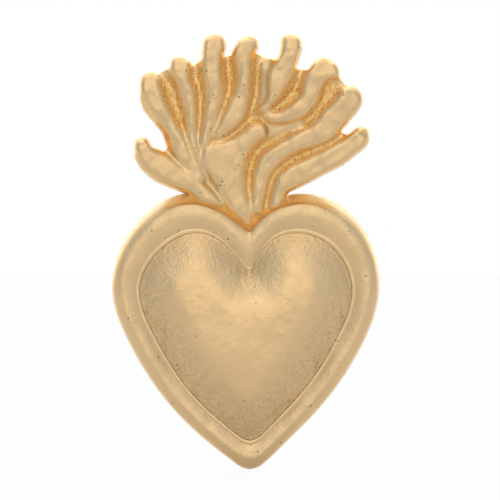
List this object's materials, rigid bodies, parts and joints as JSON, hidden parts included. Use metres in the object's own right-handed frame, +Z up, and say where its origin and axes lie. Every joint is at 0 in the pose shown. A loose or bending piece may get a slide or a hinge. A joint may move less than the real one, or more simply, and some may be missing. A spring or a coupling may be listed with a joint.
{
  "type": "flaming heart charm",
  "caption": "Puffed flaming heart charm, double-sided, with a rolled border, a crown of flame tongues and a stringing hole from tip to top.",
  "frame": {"origin": "axis of the stringing hole, at its lower mouth in the tip of the heart", "axes": "+Z up from the heart's tip to the flames, -Y out of the front face, +X to the right as seen from the front; Y = 0 is the parting plane"},
  "size_m": [0.0247, 0.008, 0.0399],
  "materials": {
    "gold_frame": "gold-plated, polished, lightly pitted",
    "gold_dome": "gold-plated, satin polish with fine scratches",
    "gold_wire": "gold-plated, polished",
    "gold_flame": "gold-plated, polished on the crests, cast in the grooves",
    "tube_brass": "drawn brass, plain"
  },
  "bodies": {
    "root": {"front_heart_frame": "gold_frame", "back_heart_frame": "gold_frame", "front_heart_dome": "gold_dome", "back_heart_dome": "gold_dome", "front_bezel_wire": "gold_wire", "back_bezel_wire": "gold_wire", "front_flame_crown": "gold_flame", "back_flame_crown": "gold_flame", "stringing_tube": "tube_brass"}
  },
  "joints": []
}
